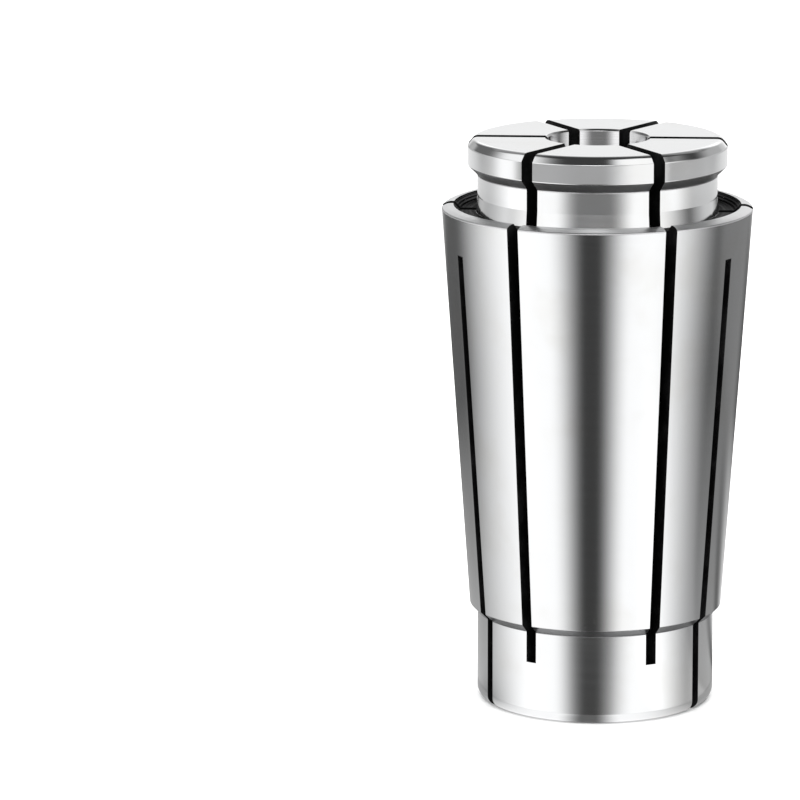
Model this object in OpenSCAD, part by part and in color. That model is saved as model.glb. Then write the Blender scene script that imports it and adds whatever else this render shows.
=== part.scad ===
// Spring collet for a slim tool chuck: one slotted piece of hardened and ground steel.
// It stands on its tail, with its origin at the centre of the tail's end face and +Z up to the nose.
// Sizes are in millimetres.

/* [Tapered seat] */
// Diameter of the seat at its upper edge, the widest place of the collet
seat_d = 24.5; // [24.1:0.1:27.5]
// Height of the seat, from its lower edge to its upper edge
seat_h = 31.9; // [26:0.1:38]
// Angle of the seat's flank to the axis, half of its included angle
seat_angle = 4; // [3.5:0.1:4.4]

/* [Tail] */
// Outside diameter of the plain tail
tail_d = 18.8; // [18.2:0.1:19.4]
// Height of the tail, from its end face to the shoulder
tail_h = 7.1; // [6:0.1:12]
// Slope of the shoulder between tail and seat, measured from the axis
shoulder_angle = 45; // [30:1:60]
// Bevel on the outer edge of the tail's end
tail_bevel = 0.5; // [0.2:0.05:0.6]
// Bevel at the mouth of the relief bore
mouth_bevel = 0.25; // [0.1:0.05:0.35]

/* [Nose] */
// Radial width of the rim between the seat and the recess
rim_w = 0.95; // [0.7:0.05:1.2]
// Slope of the rim, down from its inner edge, measured from level
rim_slope = 15; // [5:1:30]
// Depth of the recess round the neck, below the rim's inner edge
recess_depth = 0.52; // [0.3:0.02:0.7]
// Slope of the recess's outer wall, measured from the axis
recess_angle = 45; // [20:1:50]
// Diameter of the neck that the nut's ring reaches into
neck_d = 18.9; // [17.6:0.1:19.3]
// Height of the neck that shows, from the rim's inner edge to the undercut
neck_h = 2.44; // [1.8:0.02:4]
// Radial flare of the neck's foot, at the bottom of the recess
foot_w = 0.1; // [0.05:0.01:0.15]
// Height of the neck's foot above the bottom of the recess
foot_h = 0.9; // [0.6:0.05:1.2]
// Diameter of the head
head_d = 20.4; // [19.8:0.1:21.6]
// Slope of the undercut below the head, measured from the axis
undercut_angle = 45; // [30:1:60]
// Height of the head's straight land
head_land_h = 1.5; // [0.8:0.1:4]
// Radial width of the bevel round the nose face
face_bevel_w = 0.5; // [0.2:0.05:1]
// Height of the bevel round the nose face
face_bevel_h = 0.6; // [0.2:0.05:1]

/* [Bore] */
// Diameter of the bore that grips the tool's shank
bore_d = 8; // [4:0.5:10]
// Length of the gripping bore, down from the nose face
grip_l = 24; // [16:0.5:26]
// Edge break at the mouth of the gripping bore
bore_bevel = 0.15; // [0.05:0.05:0.4]
// Diameter of the relief bore in the tail
relief_d = 16; // [14.8:0.1:16.4]
// Slope of the step between the two bores, measured from the axis
relief_angle = 45; // [30:1:60]

/* [Slots] */
// Width of every slot at its closed end
slot_w = 0.82; // [0.5:0.02:1.1]
// How much wider a nose slot is at the nose face, because the leaves are sprung open
nose_spread = 0.12; // [0:0.02:0.2]
// Saw cuts across the nose: each makes two slots
nose_cuts = 3; // [2:1:4]
// Height above the tail's end face at which the nose slots stop
nose_slot_stop = 4.65; // [3:0.05:5.5]
// Slots that are open at the tail, each between two nose slots
tail_slots = 3; // [1:1:3]
// Distance below the seat's upper edge at which the tail slots stop
tail_slot_stop = 3; // [2:0.1:8]
// Diameter of the saw that cuts the slots
saw_d = 63; // [50:1:100]

/* [Edges] */
// Radius on the seat's upper edge
rim_edge_r = 0.2; // [0.1:0.05:0.3]
// Radius in the corner where the shoulder meets the tail
shoulder_root_r = 0.3; // [0.1:0.05:0.6]
// Radius in the corner where the undercut meets the neck
neck_root_r = 0.2; // [0.1:0.05:0.5]
// Radius in the two corners at the bottom of the recess
recess_root_r = 0.15; // [0.05:0.05:0.2]

/* [Hidden] */
$fn = 128;

// Radii of the profile's steps
tail_r = tail_d / 2;
seat_r = seat_d / 2;
seat_low_r = seat_r - seat_h * tan(seat_angle);
rim_r = seat_r - rim_w;
neck_r = neck_d / 2;
head_r = head_d / 2;
recess_r = rim_r - recess_depth * tan(recess_angle);
foot_r = neck_r + foot_w;
bore_r = bore_d / 2;
relief_r = relief_d / 2;

// Heights of the profile's steps, stacked up from the tail's end face
seat_low_z = tail_h + (seat_low_r - tail_r) / tan(shoulder_angle);
seat_top_z = seat_low_z + seat_h;
rim_z = seat_top_z + rim_w * tan(rim_slope);
recess_z = rim_z - recess_depth;
foot_z = recess_z + foot_h;
neck_top_z = rim_z + neck_h;
head_low_z = neck_top_z + (head_r - neck_r) / tan(undercut_angle);
land_top_z = head_low_z + head_land_h;
nose_z = land_top_z + face_bevel_h;
grip_low_z = nose_z - grip_l;
relief_top_z = grip_low_z - (relief_r - bore_r) / tan(relief_angle);

// Corners of the half section that are blended, each with a name
tail_corner = [tail_r, tail_h];
seat_low_corner = [seat_low_r, seat_low_z];
seat_top_corner = [seat_r, seat_top_z];
rim_corner = [rim_r, rim_z];
recess_outer_corner = [recess_r, recess_z];
recess_inner_corner = [foot_r, recess_z];
foot_corner = [neck_r, foot_z];
neck_corner = [neck_r, neck_top_z];
head_corner = [head_r, head_low_z];

// The half section in radius and height: up the outside, over the nose and down the bore
section = [
    [relief_r + mouth_bevel, 0],
    [tail_r - tail_bevel, 0],
    [tail_r, tail_bevel],
    tail_corner,
    seat_low_corner,
    seat_top_corner,
    rim_corner,
    recess_outer_corner,
    recess_inner_corner,
    foot_corner,
    neck_corner,
    head_corner,
    [head_r, land_top_z],
    [head_r - face_bevel_w, nose_z],
    [bore_r + bore_bevel, nose_z],
    [bore_r, nose_z - bore_bevel],
    [bore_r, grip_low_z],
    [relief_r, relief_top_z],
    [relief_r, mouth_bevel],
];

function unit(v) = v / norm(v);
hair = 0.0002;

// The sliver between the corner b and the arc that blends it, where the outline runs from a to b to c.
// Its tip reaches past the corner by the radius, and the arc sinks a hair into both sides of the
// corner, so that no thinner sliver stays where it meets them.
module corner_sliver(a, b, c, r) {
    to_a = unit(a - b);
    to_c = unit(c - b);
    into = unit(to_a + to_c);
    half = acos(to_a * to_c) / 2;
    reach = r / tan(half);
    difference() {
        polygon([b - into * r, b + to_a * reach, b + to_c * reach]);
        translate(b + into * (r / sin(half) - hair)) circle(r);
    }
}

// The half section with its roots filled and its rim edge rounded off
module blended_section() {
    difference() {
        union() {
            polygon(section);
            corner_sliver([tail_r, tail_bevel], tail_corner, seat_low_corner, shoulder_root_r);
            corner_sliver(rim_corner, recess_outer_corner, recess_inner_corner, recess_root_r);
            corner_sliver(recess_outer_corner, recess_inner_corner, foot_corner, recess_root_r);
            corner_sliver(foot_corner, neck_corner, head_corner, neck_root_r);
        }
        corner_sliver(seat_low_corner, seat_top_corner, rim_corner, rim_edge_r);
    }
}

// The whole collet as it leaves the lathe and the grinder, before it is slotted
module turned_blank() {
    rotate_extrude() blended_section();
}

saw_r = saw_d / 2;
clear = 1;

// A thin disc that stands on its edge in the XZ plane, with its centre at radius x and height z
module saw_disc(x, z, width) {
    translate([x, 0, z]) rotate([90, 0, 0]) cylinder(r = saw_r, h = width, center = true);
}

// The wedge between two sprung leaves, across the whole collet: slot_w wide at nose_slot_stop and
// nose_spread more at the nose face
module leaf_gap() {
    low_z = nose_slot_stop - saw_r;
    high_z = nose_z + clear;
    low_w = leaf_gap_w(low_z);
    high_w = leaf_gap_w(high_z);
    rotate([90, 0, 90]) linear_extrude(saw_d, center = true) polygon([
        [-low_w / 2, low_z],
        [low_w / 2, low_z],
        [high_w / 2, high_z],
        [-high_w / 2, high_z],
    ]);
}

function leaf_gap_w(z) = slot_w + nose_spread * (z - nose_slot_stop) / (nose_z - nose_slot_stop);

// One cut across the nose: the saw's centre runs down the axis and stops when its rim reaches
// nose_slot_stop on the tail's skin, and the leaves then stand a little apart
module nose_cut() {
    centre_z = nose_slot_stop + sqrt(saw_r * saw_r - tail_r * tail_r);
    widest = slot_w + 2 * nose_spread;
    intersection() {
        leaf_gap();
        union() {
            saw_disc(0, centre_z, widest);
            translate([-saw_r, -widest / 2, centre_z]) cube([saw_d, widest, nose_z + clear]);
        }
    }
}

// One cut up from the tail: the saw's centre runs up beside the collet, so that the saw passes the
// bore's wall on one side only, and stops when its rim reaches tail_slot_stop on the seat
module tail_cut() {
    top_z = seat_top_z - tail_slot_stop;
    skin_r = seat_r - tail_slot_stop * tan(seat_angle);
    centre_z = top_z - sqrt(saw_r * saw_r - (saw_r - skin_r) * (saw_r - skin_r));
    saw_disc(saw_r, centre_z, slot_w);
    translate([0, -slot_w / 2, -clear]) cube([saw_d, slot_w, centre_z + clear]);
}

// The finished collet
module collet() {
    nose_step = 180 / nose_cuts;
    color([0.76, 0.77, 0.79]) difference() {
        turned_blank();
        for (i = [0 : nose_cuts - 1]) rotate(i * nose_step) nose_cut();
        for (i = [0 : tail_slots - 1]) rotate(90 + i * 360 / tail_slots) tail_cut();
    }
}

collet();
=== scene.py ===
import math

import bmesh
import bpy
import numpy as np
from mathutils import Matrix, Vector
from mathutils.kdtree import KDTree


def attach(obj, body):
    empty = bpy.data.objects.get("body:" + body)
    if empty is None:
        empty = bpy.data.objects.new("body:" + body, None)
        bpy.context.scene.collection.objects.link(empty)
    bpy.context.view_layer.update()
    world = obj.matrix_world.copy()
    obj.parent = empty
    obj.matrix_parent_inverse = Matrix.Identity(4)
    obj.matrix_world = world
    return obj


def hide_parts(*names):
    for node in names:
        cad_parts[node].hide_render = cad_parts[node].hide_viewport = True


mm = 0.001  # sizes below are in millimetres, and the mesh is in metres

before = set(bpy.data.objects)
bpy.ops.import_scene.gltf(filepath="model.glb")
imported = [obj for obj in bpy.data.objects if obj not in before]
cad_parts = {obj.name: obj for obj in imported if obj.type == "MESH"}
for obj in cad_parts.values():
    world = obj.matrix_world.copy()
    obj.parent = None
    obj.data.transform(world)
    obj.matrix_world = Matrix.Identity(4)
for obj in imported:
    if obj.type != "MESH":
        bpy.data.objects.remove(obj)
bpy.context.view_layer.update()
print("frame loaded:", sorted(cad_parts))


cameraLook = {
    "aim": Vector((0, 0, 24.05 * mm)),  # a point on the collet's axis
    "round": 2.2018,  # degrees round the collet, from the front towards +X
    "above": 12.058,  # degrees above the floor
    "distance": 405.23 * mm,
    "lens": 229.71,  # millimetres, on a sensor 36 wide
    "turn": -2.2018,  # degrees, turned left so that the collet stands right of the middle
    "tip": -0.0108,  # degrees, tipped down
    "roll": 0.3057,  # degrees, the collet leans a little to the right
    "nearest": 0.01,  # metres, what the camera can see
    "farthest": 20,
}


def makeCamera(look):
    around, above = math.radians(look["round"]), math.radians(look["above"])
    back = Vector((math.sin(around) * math.cos(above), -math.cos(around) * math.cos(above), math.sin(above)))
    right = (-back).cross(Vector((0, 0, 1))).normalized()
    up = right.cross(-back)
    facing = Matrix((right, up, back)).transposed()
    turned = (
        facing
        @ Matrix.Rotation(-math.radians(look["turn"]), 3, "Y")
        @ Matrix.Rotation(math.radians(look["tip"]), 3, "X")
        @ Matrix.Rotation(math.radians(look["roll"]), 3, "Z")
    )
    data = bpy.data.cameras.new("camera")
    data.lens = look["lens"]
    data.sensor_width = 36
    data.clip_start, data.clip_end = look["nearest"], look["farthest"]
    camera = bpy.data.objects.new("camera", data)
    camera.matrix_world = Matrix.Translation(look["aim"] + back * look["distance"]) @ turned.to_4x4()
    bpy.context.scene.collection.objects.link(camera)
    bpy.context.scene.camera = camera


makeCamera(cameraLook)
print("camera placed")


colletShape = {
    "seatWidth": 24.5,  # across the upper edge of the tapered seat
    "seatHeight": 31.9,
    "seatAngle": 4,  # degrees, half of the taper
    "tailWidth": 18.8,
    "tailHeight": 7.1,
    "tailBevel": 0.5,
    "mouthBevel": 0.25,
    "rimWidth": 0.95,
    "rimSlope": 15,  # degrees from level, between the rim's two edges
    "rimBevel": 0.5,  # the outer part of the rim that slopes; the rest of it is level
    "recessDepth": 0.52,
    "recessAngle": 45,  # degrees from the axis, of the recess's outer wall
    "neckWidth": 18.9,
    "neckHeight": 2.44,
    "footWidth": 0.1,  # the neck flares out by this at its foot
    "footHeight": 1.25,
    "headWidth": 20.4,
    "headLand": 1.5,
    "faceBevelWidth": 0.5,
    "faceBevelHeight": 0.6,
    "boreWidth": 8.0,
    "gripLength": 24.0,
    "boreBevel": 0.15,
    "reliefWidth": 16.0,
    "noseSlots": 6,
    "tailSlots": 3,
    "slotWidth": 0.82,  # at a slot's closed end
    "noseSpread": 0.12,  # how much wider a slot from the nose is at the face: the leaves are sprung open
    "noseSlotStop": 4.65,  # height where the slots from the nose end
    "tailSlotStop": 3.0,  # depth below the seat's upper edge where the slots from the tail end
    "sawWidth": 63.0,
    "slotEdge": 0.03,  # the file's break along every slot edge
    # degrees that the polish of these surfaces leans towards the nose: their shape stays as it is
    "leans": {"shoulder": -13.0, "rim": 12.0, "foot": 13.4, "undercut": 7.0, "headLand": 4.0, "bore": 13.0},
}
meshFineness = {
    "degreesPerColumn": 1.25,
    "columnsAcrossSlot": 4,
    "stepsAlongSlotEnd": 14,
    "degreesPerArcStep": 11,
    "fewestArcSteps": 3,
    "slotEdgeSteps": 3,
    "clearOfStop": 0.3,  # millimetres from a row to the row where a slot stops, at least
}
finishes = ["groundSteel", "fineTurnedSteel", "dullTurnedSteelPaintedShade", "turnedSteelPaintedShade", "honedSteel", "sawnSteel"]
surfaces = ["turned", "wall", "end", "edge"]


def colletCorners(shape):
    # corners of the half section, each with the surface that leaves it, its radius and height, its round,
    # the finish of that surface and the steps along it
    tailR, seatR = shape["tailWidth"] / 2, shape["seatWidth"] / 2
    seatLowR = seatR - shape["seatHeight"] * math.tan(math.radians(shape["seatAngle"]))
    seatLowZ = shape["tailHeight"] + seatLowR - tailR
    seatTopZ = seatLowZ + shape["seatHeight"]
    rimR = seatR - shape["rimWidth"]
    rimZ = seatTopZ + shape["rimWidth"] * math.tan(math.radians(shape["rimSlope"]))
    recessR = rimR - shape["recessDepth"] * math.tan(math.radians(shape["recessAngle"]))
    recessZ = rimZ - shape["recessDepth"]
    neckR, headR = shape["neckWidth"] / 2, shape["headWidth"] / 2
    neckTopZ = rimZ + shape["neckHeight"]
    headLowZ = neckTopZ + headR - neckR
    landTopZ = headLowZ + shape["headLand"]
    noseZ = landTopZ + shape["faceBevelHeight"]
    boreR, reliefR = shape["boreWidth"] / 2, shape["reliefWidth"] / 2
    gripLowZ = noseZ - shape["gripLength"]
    return [
        ("tailFace", reliefR + shape["mouthBevel"], 0, 0.08, "groundSteel", 2),
        ("tailBevel", tailR - shape["tailBevel"], 0, 0.75, "groundSteel", 1),
        ("tail", tailR, shape["tailBevel"], 0.75, "groundSteel", 4),
        ("shoulder", tailR, shape["tailHeight"], 0.10, "dullTurnedSteelPaintedShade", 1),
        ("seat", seatLowR, seatLowZ, 0.10, "groundSteel", 14),
        ("rim", seatR, seatTopZ, 0.16, "fineTurnedSteel", 2),
        ("rimLand", seatR - shape["rimBevel"], rimZ, 0.9, "fineTurnedSteel", 1),
        ("recessWall", rimR, rimZ, 0.06, "turnedSteelPaintedShade", 2),
        ("recessFloor", recessR, recessZ, 0.15, "turnedSteelPaintedShade", 3),
        ("foot", neckR + shape["footWidth"], recessZ, 0.005, "groundSteel", 2),
        ("neck", neckR, recessZ + shape["footHeight"], 0.05, "groundSteel", 4),
        ("undercut", neckR, neckTopZ, 0.20, "fineTurnedSteel", 1),
        ("headLand", headR, headLowZ, 0.12, "groundSteel", 3),
        ("faceBevel", headR, landTopZ, 0.14, "groundSteel", 1),
        ("face", headR - shape["faceBevelWidth"], noseZ, 0.6, "groundSteel", 8),
        ("boreMouth", boreR + shape["boreBevel"], noseZ, 0.08, "groundSteel", 1),
        ("bore", boreR, noseZ - shape["boreBevel"], 0.08, "honedSteel", 12),
        ("step", boreR, gripLowZ, 0.20, "turnedSteelPaintedShade", 3),
        ("relief", reliefR, gripLowZ - (reliefR - boreR), 0.30, "turnedSteelPaintedShade", 6),
        ("reliefMouth", reliefR, shape["mouthBevel"], 0.08, "groundSteel", 1),
    ]


def leanUp(nr, nz, degrees):
    # a normal of the half section, leaned towards the nose
    share, away = math.cos(math.radians(degrees)), math.sin(math.radians(degrees))
    upR, upZ = (-nz, nr) if nr > 0 else (nz, -nr)
    return {"nr": nr * share + upR * away, "nz": nz * share + upZ * away}


def direct(first, second):
    # the direction from one point of the half section to another
    return (second - first) / np.linalg.norm(second - first)


def bendAt(into, out):
    # how far the outline turns from one direction to the next
    return math.atan2(into[0] * out[1] - into[1] * out[0], into @ out)


def sectionRows(corners, stops, leans, fineness):
    # rows of the turned surface, once round the half section: dicts with r, z, nr, nz and finish
    points = [np.array(c[1:3], float) for c in corners]
    rows = []
    for i, (name, _, _, blend, finish, steps) in enumerate(corners):
        here, after = points[i], points[(i + 1) % len(points)]
        into, out = direct(points[i - 1], here), direct(here, after)
        bend = bendAt(into, out)
        reach = blend * math.tan(abs(bend) / 2)
        side = math.copysign(1, bend)
        centre = here - into * reach + side * blend * np.array((-into[1], into[0]))
        count = math.ceil(math.degrees(abs(bend)) / fineness["degreesPerArcStep"])
        count = max(fineness["fewestArcSteps"], count)
        leanBefore, leanHere = leans.get(corners[i - 1][0], 0), leans.get(name, 0)
        for k in range(count + 1):
            turn = bend * k / count
            alongR = into[0] * math.cos(turn) - into[1] * math.sin(turn)
            alongZ = into[0] * math.sin(turn) + into[1] * math.cos(turn)
            outward = np.array((alongZ, -alongR))
            place = centre + side * blend * outward
            lean = leanBefore + (leanHere - leanBefore) * k / count
            rows.append({"r": place[0], "z": place[1], "finish": finish} | leanUp(*outward, lean))
        # the straight up to the next corner's arc, with a row at each slot's stop
        nextBlend = corners[(i + 1) % len(corners)][3]
        nextBend = bendAt(out, direct(after, points[(i + 2) % len(points)]))
        begin = here + out * reach
        end = after - out * nextBlend * math.tan(abs(nextBend) / 2)
        length = np.linalg.norm(end - begin)
        shares = [k / steps for k in range(1, steps)]
        stopShare = None
        if name in stops:
            stopShare = (stops[name] - begin[1]) / (end[1] - begin[1])
            shares = [s for s in shares if abs(s - stopShare) * length > fineness["clearOfStop"]]
            shares.append(stopShare)
        for share in sorted(shares):
            place = begin + (end - begin) * share
            stop = name if share == stopShare else None
            row = {"r": place[0], "z": place[1], "finish": finish, "stop": stop}
            rows.append(row | leanUp(out[1], -out[0], leanHere))
    return rows


def planCuts(shape, corners):
    # one dict for each slot, in the order of their angles, and the heights where the slots stop
    sawR = shape["sawWidth"] / 2
    tailR, reliefR, boreR = shape["tailWidth"] / 2, shape["reliefWidth"] / 2, shape["boreWidth"] / 2
    seatTopZ = next(c[2] for c in corners if c[0] == "rim")
    noseZ = next(c[2] for c in corners if c[0] == "face")
    # the saw's centre at the end of each kind of cut, in the slot's own plane, as (radius, height)
    noseSaw = (0, shape["noseSlotStop"] + math.sqrt(sawR**2 - tailR**2))
    skinZ = seatTopZ - shape["tailSlotStop"]
    skinR = shape["seatWidth"] / 2 - shape["tailSlotStop"] * math.tan(math.radians(shape["seatAngle"]))
    tailSaw = (sawR, skinZ - math.sqrt(sawR**2 - (sawR - skinR) ** 2))
    stops = {
        "tail": shape["noseSlotStop"],
        "relief": noseSaw[1] - math.sqrt(sawR**2 - reliefR**2),
        "seat": skinZ,
        "bore": tailSaw[1] + math.sqrt(sawR**2 - (sawR - boreR) ** 2),
    }
    # "above" is +1 where the slot ends on the upper half of the saw, and -1 on the lower half
    noseCut = {"from": "tail", "to": "relief", "saw": noseSaw, "above": -1, "spread": shape["noseSpread"]}
    tailCut = {"from": "bore", "to": "seat", "saw": tailSaw, "above": 1, "spread": 0}
    noseSlots, tailSlots = shape["noseSlots"], shape["tailSlots"]
    cuts = [noseCut | {"angle": 360 / noseSlots * k} for k in range(noseSlots)]
    cuts += [tailCut | {"angle": 90 + 360 / tailSlots * k} for k in range(tailSlots)]
    for cut in cuts:
        cut |= {"sawR": sawR, "width": shape["slotWidth"], "low": shape["noseSlotStop"], "high": noseZ}
    return sorted(cuts, key=lambda cut: cut["angle"]), stops


def halfGap(cut, z):
    # half the width of a slot at a height
    return (cut["width"] + cut["spread"] * (z - cut["low"]) / (cut["high"] - cut["low"])) / 2


def planColumns(cuts, fineness):
    # columns of the mesh round the axis, and each slot's first one: a column is (cut, None, share of the
    # half gap) across a slot, and (cut, next cut, share of the steel between them) over the steel
    across = fineness["columnsAcrossSlot"]
    columns, slotColumns = [], []
    for n, cut in enumerate(cuts):
        following = cuts[(n + 1) % len(cuts)]
        slotColumns.append(len(columns))
        columns += [(cut, None, 2 * k / across - 1) for k in range(across + 1)]
        count = round((following["angle"] - cut["angle"]) % 360 / fineness["degreesPerColumn"])
        columns += [(cut, following, k / count) for k in range(1, count)]
    return columns, slotColumns


def columnAngle(column, r, z):
    cut, following, share = column
    here = math.radians(cut["angle"])
    if following is None:
        return here + math.asin(share * halfGap(cut, z) / r)
    first = here + math.asin(halfGap(cut, z) / r)
    steel = math.radians((following["angle"] - cut["angle"]) % 360)
    last = here + steel - math.asin(halfGap(following, z) / r)
    return first + (last - first) * share


def addRings(mesh, rows, columns):
    # a ring of corners for each row, with one corner for each column
    grid = []
    for row in rows:
        ring = []
        for column in columns:
            angle = columnAngle(column, row["r"], row["z"])
            x, y = row["r"] * math.cos(angle), row["r"] * math.sin(angle)
            ring.append(mesh.verts.new((x * mm, y * mm, row["z"] * mm)))
        grid.append(ring)
    return grid


def addFace(mesh, surface, verts, finish, kind):
    face = mesh.faces.new(verts)
    face.material_index = finishes.index(finish)
    face[surface] = surfaces.index(kind)


def isOpen(cut, rowIndex):
    # whether a slot is open between a row and the next
    first, last = cut["first"], cut["last"]
    return first <= rowIndex < last if first < last else rowIndex >= first or rowIndex < last


def addTurnedFaces(mesh, surface, grid, rows, cuts, slotColumns, across):
    total = len(grid[0])
    for i, row in enumerate(rows):
        nextRow = (i + 1) % len(rows)
        for cut, left, right in zip(cuts, slotColumns, slotColumns[1:] + [total]):
            for j in range(left, right):
                if j < left + across and isOpen(cut, i):
                    continue
                k = (j + 1) % total
                verts = (grid[i][j], grid[i][k], grid[nextRow][k], grid[nextRow][j])
                addFace(mesh, surface, verts, row["finish"], "turned")


def addSlot(mesh, surface, grid, rows, cut, left, fineness):
    # a slot's end, along the saw's arc, and its two walls
    across, steps = fineness["columnsAcrossSlot"], fineness["stepsAlongSlotEnd"]
    first, last, saw = cut["first"], cut["last"], cut["saw"]
    angle = math.radians(cut["angle"])
    direction = Vector((math.cos(angle), math.sin(angle), 0))
    side = Vector((-direction.y, direction.x, 0))
    startR, endR = rows[last]["r"], rows[first]["r"]
    bows = [grid[last][left : left + across + 1]]
    for k in range(1, steps):
        x = startR + (endR - startR) * k / steps
        z = saw[1] + cut["above"] * math.sqrt(cut["sawR"] ** 2 - (x - saw[0]) ** 2)
        bow = []
        for n in range(across + 1):
            offset = (2 * n / across - 1) * halfGap(cut, z)
            place = direction * math.sqrt(x**2 - offset**2) + side * offset + Vector((0, 0, z))
            bow.append(mesh.verts.new(place * mm))
        bows.append(bow)
    bows.append(grid[first][left : left + across + 1])
    for bow, nextBow in zip(bows, bows[1:]):
        for j in range(across):
            verts = (bow[j], bow[j + 1], nextBow[j + 1], nextBow[j])
            addFace(mesh, surface, verts, "sawnSteel", "end")
    openRows = [i % len(rows) for i in range(first, (last if first < last else last + len(rows)) + 1)]
    for j in (0, across):
        loop = [grid[i][left + j] for i in openRows] + [bow[j] for bow in bows[1:-1]]
        addFace(mesh, surface, loop, "sawnSteel", "wall")


def breakSlotEdges(mesh, surface, width, steps):
    # the slot edges are broken, as a file or a brush leaves them
    turned = surfaces.index("turned")
    edges = [e for e in mesh.edges if len({f[surface] == turned for f in e.link_faces}) == 2]
    made = bmesh.ops.bevel(
        mesh,
        geom=edges,
        offset=width,
        offset_type="OFFSET",
        segments=steps,
        profile=0.5,
        affect="EDGES",
        clamp_overlap=False,
        material=finishes.index("sawnSteel"),
    )
    for face in made["faces"]:
        face[surface] = surfaces.index("edge")
    return len(edges)


def trueNormals(mesh, surface, rows):
    # the normals of the true cone, cylinder or arc under every turned face, so the polish shows no facets
    nearest = KDTree(len(rows))
    for n, row in enumerate(rows):
        nearest.insert((row["r"] * mm, row["z"] * mm, 0), n)
    nearest.balance()
    turned, edge = surfaces.index("turned"), surfaces.index("edge")
    lathe = {}
    for vert in mesh.verts:
        if any(f[surface] == turned for f in vert.link_faces):
            radius = math.hypot(vert.co.x, vert.co.y)
            row = rows[nearest.find((radius, vert.co.z, 0))[1]]
            lathe[vert] = Vector((row["nr"] * vert.co.x / radius, row["nr"] * vert.co.y / radius, row["nz"]))
    mesh.normal_update()
    normals = []
    for face in mesh.faces:
        for vert in face.verts:
            if face[surface] == turned:
                normals.append(lathe[vert])
            elif face[surface] != edge:
                normals.append(face.normal)
            elif vert in lathe:
                normals.append(lathe[vert])
            else:
                flat = next((f for f in vert.link_faces if f[surface] != edge), None)
                normals.append(flat.normal if flat else vert.normal)
    return normals


def buildCollet(shape, fineness):
    corners = colletCorners(shape)
    cuts, stops = planCuts(shape, corners)
    rows = sectionRows(corners, stops, shape["leans"], fineness)
    stopRow = {row["stop"]: n for n, row in enumerate(rows) if row.get("stop")}
    for cut in cuts:
        cut["first"], cut["last"] = stopRow[cut["from"]], stopRow[cut["to"]]
    columns, slotColumns = planColumns(cuts, fineness)

    mesh = bmesh.new()
    surface = mesh.faces.layers.int.new("surface")
    grid = addRings(mesh, rows, columns)
    addTurnedFaces(mesh, surface, grid, rows, cuts, slotColumns, fineness["columnsAcrossSlot"])
    for cut, left in zip(cuts, slotColumns):
        addSlot(mesh, surface, grid, rows, cut, left, fineness)
    bmesh.ops.delete(mesh, geom=[v for v in mesh.verts if not v.link_faces], context="VERTS")
    bmesh.ops.recalc_face_normals(mesh, faces=mesh.faces)
    broken = breakSlotEdges(mesh, surface, shape["slotEdge"] * mm, fineness["slotEdgeSteps"])
    normals = trueNormals(mesh, surface, rows)
    for face in mesh.faces:
        face.smooth = True

    data = bpy.data.meshes.new("collet")
    mesh.to_mesh(data)
    mesh.free()
    data.attributes.remove(data.attributes["surface"])
    data.normals_split_custom_set(normals)
    piece = bpy.data.objects.new("slottedCollet", data)
    bpy.context.scene.collection.objects.link(piece)
    print("collet meshed:", len(data.polygons), "faces,", broken, "slot edges broken")
    return piece


collet = buildCollet(colletShape, meshFineness)
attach(collet, "root")
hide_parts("collet")


def newGroup(name, inputs, outputs):
    group = bpy.data.node_groups.new(name, "ShaderNodeTree")
    for label, kind, value in inputs:
        socket = group.interface.new_socket(label, in_out="INPUT", socket_type=kind)
        if value is not None:
            socket.default_value = value
    for label, kind in outputs:
        group.interface.new_socket(label, in_out="OUTPUT", socket_type=kind)
    return group, nodeBuilder(group), group.nodes.new("NodeGroupInput"), group.nodes.new("NodeGroupOutput")


class nodeBuilder:
    def __init__(self, tree):
        self.tree = tree

    def add(self, kind, **settings):
        node = self.tree.nodes.new(kind)
        for key, value in settings.items():
            setattr(node, key, value)
        return node

    def plug(self, source, target):
        if isinstance(source, (int, float, tuple, list)):
            target.default_value = source
        else:
            self.tree.links.new(source, target)

    def math(self, operation, *values):
        node = self.add("ShaderNodeMath", operation=operation)
        for value, socket in zip(values, node.inputs):
            self.plug(value, socket)
        return node.outputs[0]

    def remap(self, value, fromLow, fromHigh, toLow=0.0, toHigh=1.0, smooth=True):
        node = self.add("ShaderNodeMapRange", interpolation_type="SMOOTHSTEP" if smooth else "LINEAR")
        for source, socket in zip((value, fromLow, fromHigh, toLow, toHigh), node.inputs):
            self.plug(source, socket)
        return node.outputs[0]

    def noise(self, vector, scale, detail=2.0, roughness=0.5, dimensions="3D"):
        node = self.add("ShaderNodeTexNoise", noise_dimensions=dimensions)
        self.plug(vector, node.inputs["W" if dimensions == "1D" else "Vector"])
        self.plug(scale, node.inputs["Scale"])
        self.plug(detail, node.inputs["Detail"])
        self.plug(roughness, node.inputs["Roughness"])
        return node.outputs[0]

    def place(self, output="Object"):
        return self.add("ShaderNodeTexCoord").outputs[output]

    def split(self, vector):
        node = self.add("ShaderNodeSeparateXYZ")
        self.plug(vector, node.inputs[0])
        return node.outputs

    def radius(self, x, y):
        squares = self.math("ADD", self.math("MULTIPLY", x, x), self.math("MULTIPLY", y, y))
        return self.math("SQRT", squares)

    def degreesRound(self, x, y):
        # 0 is straight in front, and +90 is on the right
        return self.math("DEGREES", self.math("ARCTAN2", x, self.math("MULTIPLY", y, -1.0)))

    def degreesFrom(self, azimuth, middle):
        return self.math("WRAP", self.math("SUBTRACT", azimuth, middle), 180.0, -180.0)

    def mixColor(self, share, first, second):
        node = self.add("ShaderNodeMix", data_type="RGBA")
        for value, label in ((share, "Factor_Float"), (first, "A_Color"), (second, "B_Color")):
            self.plug(value, next(i for i in node.inputs if i.identifier == label))
        return next(o for o in node.outputs if o.identifier == "Result_Color")


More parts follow.
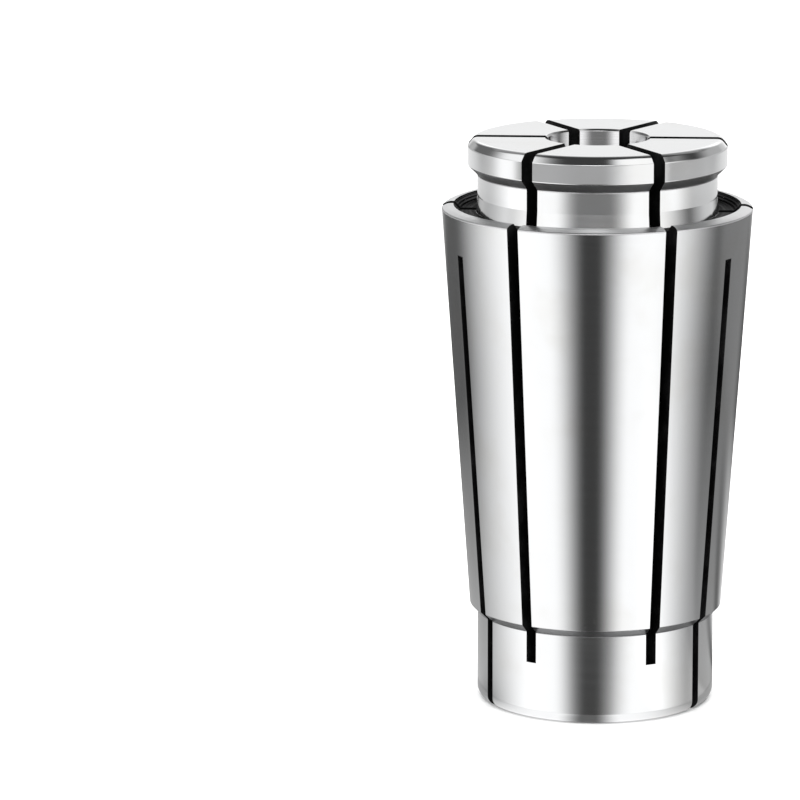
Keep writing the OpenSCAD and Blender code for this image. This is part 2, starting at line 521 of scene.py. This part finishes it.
toolLinesLook = {
    "flankShare": 2.0,  # how much height counts against radius, so that flanks and faces both get lines
    "driftAlong": 0.9,  # how fast the broad drift changes across the lines, and along them
    "driftRound": 0.7,
    "patchScale": 260.0,  # of the patches where the lines fade
    "patchLow": 0.35,
    "patchHigh": 0.65,
}


def makeToolLines(look):
    # rings round the axis, as a tool or a wheel leaves them
    group, build, given, result = newGroup(
        "toolLines",
        [("Lines per mm", "NodeSocketFloat", 10.0), ("Breaks", "NodeSocketFloat", 0.5)],
        [("Height", "NodeSocketFloat"), ("Broad", "NodeSocketFloat")],
    )
    place = build.place()
    x, y, z = build.split(place)
    path = build.math("ADD", build.math("MULTIPLY", z, look["flankShare"]), build.radius(x, y))
    along = build.math("MULTIPLY", path, 1 / mm)
    angle = build.math("ARCTAN2", y, x)
    counted = build.math("MULTIPLY", along, given.outputs["Lines per mm"])
    fine = build.noise(counted, 1.0, detail=3.0, roughness=0.6, dimensions="1D")
    driftAlong = build.math("MULTIPLY", along, look["driftAlong"])
    driftRound = build.math("MULTIPLY", angle, look["driftRound"])
    drift = build.noise(build.math("ADD", driftAlong, driftRound), 1.0, dimensions="1D")
    patches = build.noise(place, look["patchScale"], detail=3.0, roughness=0.6)
    whereFaded = build.math("SUBTRACT", 1.0, given.outputs["Breaks"])
    faded = build.remap(patches, look["patchLow"], look["patchHigh"], whereFaded, 1.0)
    build.plug(build.math("MULTIPLY", build.math("SUBTRACT", fine, 0.5), faded), result.inputs["Height"])
    build.plug(drift, result.inputs["Broad"])
    return group


# each pair of a low and a high is where the noise starts to show and where it shows in full
handlingLook = {
    "filmLow": 0.45,
    "filmHigh": 0.7,
    "streakTurn": (0.3, 0.5, 0.2),
    "streakStretch": (1.0, 0.12, 0.6),
    "streakScale": 2600.0,
    "streakLow": 0.66,
    "streakHigh": 0.72,
    "scuffedLow": 0.5,
    "scuffedHigh": 0.62,
}


def makeHandlingMarks(look):
    # faint wiped film and short scuffs, as on a part that was cleaned by hand
    group, build, given, result = newGroup(
        "handlingMarks",
        [("Scale", "NodeSocketFloat", 180.0)],
        [("Film", "NodeSocketFloat"), ("Scuffs", "NodeSocketFloat")],
    )
    place = build.place()
    cloud = build.noise(place, given.outputs["Scale"], detail=4.0, roughness=0.55)
    build.plug(build.remap(cloud, look["filmLow"], look["filmHigh"]), result.inputs["Film"])
    stretched = build.add("ShaderNodeMapping")
    build.plug(place, stretched.inputs["Vector"])
    stretched.inputs["Rotation"].default_value = look["streakTurn"]
    stretched.inputs["Scale"].default_value = look["streakStretch"]
    noise = build.noise(stretched.outputs[0], look["streakScale"])
    streaks = build.remap(noise, look["streakLow"], look["streakHigh"])
    scuffed = build.remap(cloud, look["scuffedLow"], look["scuffedHigh"])
    build.plug(build.math("MULTIPLY", streaks, scuffed), result.inputs["Scuffs"])
    return group


toolLines = makeToolLines(toolLinesLook)
handlingMarks = makeHandlingMarks(handlingLook)


def newMaterial(name):
    material = bpy.data.materials.new(name)
    material.use_nodes = True
    shader = material.node_tree.nodes["Principled BSDF"]
    return material, nodeBuilder(material.node_tree), shader


def addBump(build, shader, height, depth, strength=1.0):
    bump = build.add("ShaderNodeBump")
    bump.inputs["Strength"].default_value = strength
    bump.inputs["Distance"].default_value = depth * mm
    build.plug(height, bump.inputs["Height"])
    build.plug(bump.outputs[0], shader.inputs["Normal"])


groundFinish = {
    "steel": (0.66, 0.665, 0.67, 1),
    "steelInFilm": (0.635, 0.635, 0.63, 1),
    "roughness": 0.12,
    "roughnessSpread": 0.035,
    "broadDulls": 0.8,  # how much of the spread the broad drift, the film and the scuffs add
    "filmDulls": 0.35,
    "scuffsDull": 0.8,
    "linesPerMm": 9.0,
    "lineDepth": 0.00022,  # millimetres
}


def makeGroundSteel(look):
    material, build, shader = newMaterial("groundSteel")
    lines = build.add("ShaderNodeGroup", node_tree=toolLines)
    lines.inputs["Lines per mm"].default_value = look["linesPerMm"]
    marks = build.add("ShaderNodeGroup", node_tree=handlingMarks)
    steel = build.mixColor(marks.outputs["Film"], look["steel"], look["steelInFilm"])
    build.plug(steel, shader.inputs["Base Color"])
    shader.inputs["Metallic"].default_value = 1
    height = lines.outputs["Height"]
    drift = build.math("MULTIPLY", build.math("SUBTRACT", lines.outputs["Broad"], 0.5), look["broadDulls"])
    film = build.math("MULTIPLY", marks.outputs["Film"], look["filmDulls"])
    scuffs = build.math("MULTIPLY", marks.outputs["Scuffs"], look["scuffsDull"])
    dull = build.math("ADD", build.math("ADD", height, drift), build.math("ADD", film, scuffs))
    roughness = build.math("MULTIPLY_ADD", dull, look["roughnessSpread"], look["roughness"])
    build.plug(roughness, shader.inputs["Roughness"])
    addBump(build, shader, height, look["lineDepth"])
    return material


fineTurnedFinish = {
    "name": "fineTurnedSteel",
    "steel": (0.64, 0.645, 0.65, 1),
    "steelShadedInGrooves": (0.60, 0.60, 0.605, 1),
    "edge": 1.0,  # how bright the steel gets where it is seen along its surface
    "roughness": 0.34,
    "roughnessSpread": 0.04,
    "linesPerMm": 7.0,
    "lineDepth": 0.0006,
}
# painted shade: the shoulder under the seat gets a darker steel than the other turned faces
dullTurnedFinishPaintedShade = {
    "name": "dullTurnedSteelPaintedShade",
    "steel": (0.38, 0.385, 0.39, 1),
    "steelShadedInGrooves": (0.34, 0.34, 0.345, 1),
    "edge": 0.9,
    "roughness": 0.32,
    "roughnessSpread": 0.04,
    "linesPerMm": 7.0,
    "lineDepth": 0.0006,
}
# painted shade: the steel of the recess and of the bore's step and relief is made dark, nearly black in its
# grooves and dim where seen along it, for the shade in these hollows
turnedFinishPaintedShade = {
    "name": "turnedSteelPaintedShade",
    "steel": (0.17, 0.17, 0.172, 1),
    "steelShadedInGrooves": (0.03, 0.03, 0.031, 1),
    "edge": 0.25,
    "roughness": 0.24,
    "roughnessSpread": 0.12,
    "linesPerMm": 3.6,
    "lineDepth": 0.012,
}
honedFinish = {
    "name": "honedSteel",
    "steel": (0.62, 0.62, 0.625, 1),
    "steelShadedInGrooves": (0.56, 0.56, 0.565, 1),
    "edge": 1.0,
    "roughness": 0.13,
    "roughnessSpread": 0.04,
    "linesPerMm": 7.0,
    "lineDepth": 0.0003,
}
turnedBreaks = 0.2  # how far the lines fade in patches
crestHeight = 0.15  # where a line's flank turns from groove to crest, in the lines' own height


def makeTurnedSteel(look):
    material, build, shader = newMaterial(look["name"])
    lines = build.add("ShaderNodeGroup", node_tree=toolLines)
    lines.inputs["Lines per mm"].default_value = look["linesPerMm"]
    lines.inputs["Breaks"].default_value = turnedBreaks
    marks = build.add("ShaderNodeGroup", node_tree=handlingMarks)
    height = lines.outputs["Height"]
    # painted shade: the steel is darker down in the lines' grooves than on their crests
    crest = build.remap(height, -crestHeight, crestHeight)
    steel = build.mixColor(crest, look["steelShadedInGrooves"], look["steel"])
    build.plug(steel, shader.inputs["Base Color"])
    shader.inputs["Metallic"].default_value = 1
    shader.inputs["Specular Tint"].default_value = (look["edge"], look["edge"], look["edge"], 1)
    roughness = build.math("MULTIPLY_ADD", marks.outputs["Film"], look["roughnessSpread"], look["roughness"])
    build.plug(roughness, shader.inputs["Roughness"])
    addBump(build, shader, height, look["lineDepth"])
    return material


sawnFinish = {
    "scale": (0.0025, 0.0025, 0.0027, 1),  # the dark skin that hardening leaves in the cuts, made near black as painted shade inside the narrow slots
    "bareSteelPaintedDark": (0.012, 0.012, 0.0125, 1),
    "roughness": 0.6,
    "filmDulls": -0.12,
    "filmScale": 420.0,
    "shine": 0.15,
    "grainScale": 9000.0,
    "grainDepth": 0.01,  # millimetres
    "grainStrength": 0.6,
}


def makeSawnSteel(look):
    material, build, shader = newMaterial("sawnSteel")
    marks = build.add("ShaderNodeGroup", node_tree=handlingMarks)
    marks.inputs["Scale"].default_value = look["filmScale"]
    # painted shade: skin and bare steel alike are near black, so the slots look dark right through
    skin = build.mixColor(marks.outputs["Film"], look["scale"], look["bareSteelPaintedDark"])
    build.plug(skin, shader.inputs["Base Color"])
    shader.inputs["Specular IOR Level"].default_value = look["shine"]
    roughness = build.math("MULTIPLY_ADD", marks.outputs["Film"], look["filmDulls"], look["roughness"])
    build.plug(roughness, shader.inputs["Roughness"])
    grain = build.noise(build.place(), look["grainScale"])
    addBump(build, shader, grain, look["grainDepth"], look["grainStrength"])
    return material


collet.data.materials.append(makeGroundSteel(groundFinish))
for look in (fineTurnedFinish, dullTurnedFinishPaintedShade, turnedFinishPaintedShade, honedFinish):
    collet.data.materials.append(makeTurnedSteel(look))
collet.data.materials.append(makeSawnSteel(sawnFinish))
print("finishes made:", ", ".join(finishes))


floorLook = {
    "halfSide": 4.0,  # metres
    "color": (0.82, 0.82, 0.82, 1),
    "roughness": 0.9,
    "cavity": 8.2 * mm,  # inside the collet the floor is plain and gets only what light comes down the bore
    "contactReach": 11.2 * mm,  # out to this far from the collet's axis the table glows for glossy rays only, a painted reflection of a lit table
    "contactFade": 0.8 * mm,
    "paintedContactLight": 0.45,  # the painted glow all round; the lobes add to it or, below zero, take from it as painted shade
    # a lobe is full within its spread of where it stands, in degrees, and then fades out
    "paintedContactLobe": {"round": -4, "spread": 24, "fade": 52, "light": 1.0},
    # painted shade in the mirrored table, straight in front of the collet
    "paintedContactShade": {"round": -1, "spread": 3, "fade": 14, "light": -1.27},
    "paintedGlintReach": 100 * mm,  # and the painted glints of the panels on it, seen only by glossy rays, which fade out this far away
    "paintedGlints": [
        {"round": 68, "spread": 20, "fade": 14, "light": 0.42},
        {"round": 112, "spread": 10, "fade": 10, "light": 0.28},
        {"round": -140, "spread": 30, "fade": 55, "light": 0.45},
        {"round": 165, "spread": 12, "fade": 20, "light": 0.8},
    ],
}


def addLobes(build, azimuth, light, lobes):
    for lobe in lobes:
        apart = build.math("ABSOLUTE", build.degreesFrom(azimuth, lobe["round"]))
        reach = lobe["spread"] + lobe["fade"]
        light = build.math("ADD", light, build.remap(apart, lobe["spread"], reach, lobe["light"], 0.0))
    return light


def makeFloor(look):
    side = look["halfSide"]
    corners = [(-side, -side, 0), (side, -side, 0), (side, side, 0), (-side, side, 0)]
    data = bpy.data.meshes.new("floor")
    data.from_pydata(corners, [], [(0, 1, 2, 3)])
    floor = bpy.data.objects.new("floor", data)
    bpy.context.scene.collection.objects.link(floor)
    material, build, shader = newMaterial("paleFloor")
    shader.inputs["Base Color"].default_value = look["color"]
    shader.inputs["Roughness"].default_value = look["roughness"]
    # for glossy rays the table is clear, so the polished steel mirrors the soft panels through it; close by
    # it glows for these rays only, a painted reflection of a lit table with painted shade in front, and
    # farther out faint painted glints of the panels fade away
    x, y, _ = build.split(build.place())
    radius, azimuth = build.radius(x, y), build.degreesRound(x, y)
    contactFar = look["contactReach"] + look["contactFade"]
    onContact = build.remap(radius, look["contactReach"], contactFar, 1.0, 0.0)
    beyondContact = build.remap(radius, look["contactReach"], contactFar, 0.0, 1.0)
    contactLobes = [look["paintedContactLobe"], look["paintedContactShade"]]
    contact = build.math("MULTIPLY", onContact, addLobes(build, azimuth, look["paintedContactLight"], contactLobes))
    near = build.remap(radius, look["contactReach"], look["paintedGlintReach"], 1.0, 0.0, smooth=False)
    sides = build.math("MULTIPLY", addLobes(build, azimuth, 0.0, look["paintedGlints"]), near)
    # the painted glow of the table, which only the steel's reflections see
    shine = build.add("ShaderNodeEmission")
    build.plug(build.math("MAXIMUM", contact, sides), shine.inputs["Strength"])
    seen = build.add("ShaderNodeBsdfTransparent")
    build.plug(beyondContact, seen.inputs["Color"])
    through = build.add("ShaderNodeAddShader")
    build.plug(shine.outputs[0], through.inputs[0])
    build.plug(seen.outputs[0], through.inputs[1])
    outside = build.math("GREATER_THAN", radius, look["cavity"])
    glossy = build.add("ShaderNodeLightPath").outputs["Is Glossy Ray"]
    mirrored = build.add("ShaderNodeMixShader")
    build.plug(build.math("MULTIPLY", glossy, outside), mirrored.inputs[0])
    build.plug(shader.outputs[0], mirrored.inputs[1])
    build.plug(through.outputs[0], mirrored.inputs[2])
    # seen from below the floor is clear, so that the collet's underside can be looked at
    clear = build.add("ShaderNodeBsdfTransparent")
    mix = build.add("ShaderNodeMixShader")
    build.plug(build.add("ShaderNodeNewGeometry").outputs["Backfacing"], mix.inputs[0])
    build.plug(mirrored.outputs[0], mix.inputs[1])
    build.plug(clear.outputs[0], mix.inputs[2])
    build.plug(mix.outputs[0], material.node_tree.nodes["Material Output"].inputs["Surface"])
    data.materials.append(material)


makeFloor(floorLook)

# Soft panels round the collet. "round" is where a panel stands: 0 is straight in front, +90 on the right.
# It reaches "left" and "right" of there, and from "bottom" to "top", in degrees, and each edge fades out
# over its fade.
studioPanels = [
    {"name": "leftLow", "round": -44, "left": 8, "leftFade": 85, "right": 8, "rightFade": 30,
     "bottom": -48, "bottomFade": 22, "top": -18.5, "topFade": 6.5, "strength": 1.45},
    {"name": "leftMiddle", "round": -44, "left": 16, "leftFade": 68, "right": 3.5, "rightFade": 26,
     "bottom": -12, "bottomFade": 6.5, "top": -7, "topFade": 3, "strength": 1.45},
    {"name": "leftHigh", "round": -44, "left": 16, "leftFade": 68, "right": 3.5, "rightFade": 26,
     "bottom": 5.5, "bottomFade": 3, "top": 28, "topFade": 10, "strength": 1.45},
    {"name": "leftTop", "round": -96, "left": 10, "leftFade": 26, "right": 6, "rightFade": 50,
     "bottom": 40, "bottomFade": 14, "top": 52, "topFade": 16, "strength": 1.3},
    {"name": "rightLow", "round": 34, "left": 4, "leftFade": 28, "right": 8, "rightFade": 66,
     "bottom": -48, "bottomFade": 22, "top": -18.5, "topFade": 6.5, "strength": 1.45},
    {"name": "rightMiddle", "round": 34, "left": -6, "leftFade": 26, "right": 26, "rightFade": 50,
     "bottom": -12, "bottomFade": 6.5, "top": -7, "topFade": 3, "strength": 1.45},
    {"name": "rightHigh", "round": 34, "left": -6, "leftFade": 26, "right": 26, "rightFade": 50,
     "bottom": 5.5, "bottomFade": 3, "top": 28, "topFade": 10, "strength": 1.45},
    {"name": "rightTop", "round": 64, "left": 22, "leftFade": 26, "right": 14, "rightFade": 24,
     "bottom": 55, "bottomFade": 8, "top": 66, "topFade": 12, "strength": 1.45},
    {"name": "rightGlow", "round": 138, "left": 20, "leftFade": 16, "right": 20, "rightFade": 16,
     "bottom": -24, "bottomFade": 3, "top": -12, "topFade": 3, "strength": 0.02},
    {"name": "tailLeft", "round": -85, "left": 20, "leftFade": 30, "right": 15, "rightFade": 20,
     "bottom": -15.5, "bottomFade": 2, "top": -12, "topFade": 2, "strength": 0.12},
    {"name": "tailRight", "round": 134, "left": 20, "leftFade": 12, "right": 16, "rightFade": 16,
     "bottom": -15, "bottomFade": 1.5, "top": -12, "topFade": 2, "strength": 0.12},
    {"name": "level", "round": 0, "left": 106, "leftFade": 20, "right": 112, "rightFade": 20,
     "bottom": -4, "bottomFade": 3, "top": 2, "topFade": 3, "strength": 0.48},
    {"name": "levelBack", "round": 180, "left": 48, "leftFade": 20, "right": 48, "rightFade": 20,
     "bottom": -4, "bottomFade": 3, "top": 2, "topFade": 3, "strength": 0.1},
    {"name": "levelLeft", "round": -86, "left": 2, "leftFade": 22, "right": 6, "rightFade": 12,
     "bottom": -4, "bottomFade": 3, "top": 2, "topFade": 3, "strength": 0.9},
    {"name": "levelRight", "round": 46, "left": 10, "leftFade": 30, "right": 8, "rightFade": 18,
     "bottom": -4, "bottomFade": 3, "top": 2, "topFade": 3, "strength": 0.9},
    {"name": "footLeft", "round": -130, "left": 24, "leftFade": 12, "right": 32, "rightFade": 16,
     "bottom": -1, "bottomFade": 2, "top": 13, "topFade": 4, "strength": 0.42},
    {"name": "footRight", "round": 130, "left": 20, "leftFade": 14, "right": 24, "rightFade": 12,
     "bottom": -1, "bottomFade": 2, "top": 12, "topFade": 3, "strength": 0.25},
    {"name": "frontLow", "round": 0, "left": 16, "leftFade": 14, "right": 16, "rightFade": 14,
     "bottom": -10, "bottomFade": 5, "top": -7, "topFade": 3, "strength": 0.22},
    {"name": "frontHigh", "round": 0, "left": 16, "leftFade": 14, "right": 16, "rightFade": 14,
     "bottom": 5.5, "bottomFade": 3, "top": 28, "topFade": 10, "strength": 0.2},
    {"name": "frontBand", "round": 0, "left": 50, "leftFade": 30, "right": 84, "rightFade": 34,
     "bottom": 33, "bottomFade": 5, "top": 46, "topFade": 6, "strength": 0.75},
    {"name": "frontTop", "round": 0, "left": 6, "leftFade": 22, "right": 6, "rightFade": 22,
     "bottom": 34, "bottomFade": 6, "top": 46, "topFade": 8, "strength": 2.2},
    {"name": "backPanel", "round": 180, "left": 12, "leftFade": 12, "right": 12, "rightFade": 12,
     "bottom": 2, "bottomFade": 6, "top": 21, "topFade": 10, "strength": 1.0},
    {"name": "backUpper", "round": 180, "left": 16, "leftFade": 12, "right": 16, "rightFade": 12,
     "bottom": 17, "bottomFade": 4, "top": 34, "topFade": 8, "strength": 0.45},
    {"name": "backLeft", "round": -128, "left": 12, "leftFade": 40, "right": 4, "rightFade": 30,
     "bottom": 3, "bottomFade": 5, "top": 30, "topFade": 14, "strength": 0.12},
    {"name": "backRight", "round": 140, "left": 10, "leftFade": 30, "right": 12, "rightFade": 30,
     "bottom": 3, "bottomFade": 5, "top": 26, "topFade": 12, "strength": 0.5},
    {"name": "backTop", "round": 180, "left": 40, "leftFade": 20, "right": 40, "rightFade": 20,
     "bottom": 37, "bottomFade": 4, "top": 50, "topFade": 8, "strength": 0.3},
    {"name": "lowBand", "round": 180, "left": 92, "leftFade": 24, "right": 92, "rightFade": 24,
     "bottom": -9, "bottomFade": 3, "top": -7, "topFade": 3, "strength": 0.92},
    {"name": "underGlow", "round": 180, "left": 110, "leftFade": 40, "right": 110, "rightFade": 40,
     "bottom": -70, "bottomFade": 15, "top": -14, "topFade": 6, "strength": 0.07},
]
studioFill = 0.06  # the light that comes from everywhere else

# what a panel says, and the input of the soft panel that takes it
panelInputs = {
    "round": "Round",
    "left": "Left",
    "leftFade": "Left fade",
    "right": "Right",
    "rightFade": "Right fade",
    "bottom": "Bottom",
    "bottomFade": "Bottom fade",
    "top": "Top",
    "topFade": "Top fade",
    "strength": "Strength",
}


def makeSoftPanel(labels):
    inputs = [(label, "NodeSocketFloat", None) for label in labels]
    group, build, given, result = newGroup("softPanel", inputs, [("Light", "NodeSocketFloat")])
    x, y, z = build.split(build.place("Generated"))
    elevation = build.math("DEGREES", build.math("ARCSINE", z))
    apart = build.degreesFrom(build.degreesRound(x, y), given.outputs["Round"])
    bottom = build.math("MULTIPLY", given.outputs["Bottom"], -1.0)
    reaches = (
        (build.math("MULTIPLY", apart, -1.0), given.outputs["Left"], given.outputs["Left fade"]),
        (apart, given.outputs["Right"], given.outputs["Right fade"]),
        (build.math("MULTIPLY", elevation, -1.0), bottom, given.outputs["Bottom fade"]),
        (elevation, given.outputs["Top"], given.outputs["Top fade"]),
    )
    light = given.outputs["Strength"]
    for far, reach, fade in reaches:
        inside = build.remap(far, reach, build.math("ADD", reach, fade), 1.0, 0.0)
        light = build.math("MULTIPLY", light, inside)
    build.plug(light, result.inputs["Light"])
    return group


def makeStudio(panels, fill):
    softPanel = makeSoftPanel(panelInputs.values())
    world = bpy.data.worlds.new("studio")
    world.use_nodes = True
    bpy.context.scene.world = world
    build = nodeBuilder(world.node_tree)
    total = fill
    for panel in panels:
        node = build.add("ShaderNodeGroup", node_tree=softPanel, label=panel["name"])
        for key, label in panelInputs.items():
            node.inputs[label].default_value = panel[key]
        total = build.math("ADD", total, node.outputs[0])
    studio = world.node_tree.nodes["Background"]
    build.plug(total, studio.inputs["Color"])
    backdrop = build.add("ShaderNodeBackground")  # what the camera sees past the floor
    mix = build.add("ShaderNodeMixShader")
    build.plug(build.add("ShaderNodeLightPath").outputs["Is Camera Ray"], mix.inputs[0])
    build.plug(studio.outputs[0], mix.inputs[1])
    build.plug(backdrop.outputs[0], mix.inputs[2])
    build.plug(mix.outputs[0], world.node_tree.nodes["World Output"].inputs["Surface"])


makeStudio(studioPanels, studioFill)

overheadLook = {"height": 0.9, "back": 0.1, "size": 1.4, "power": 22.0}  # metres and watts


def makeOverhead(look):
    data = bpy.data.lights.new("overhead", "AREA")
    data.shape = "SQUARE"
    data.size = look["size"]
    data.energy = look["power"]
    lamp = bpy.data.objects.new("overhead", data)
    lamp.location = (0, look["back"], look["height"])
    lamp.visible_glossy = False
    bpy.context.scene.collection.objects.link(lamp)


makeOverhead(overheadLook)
bpy.context.scene.view_settings.view_transform = "Standard"
print("floor and studio ready")
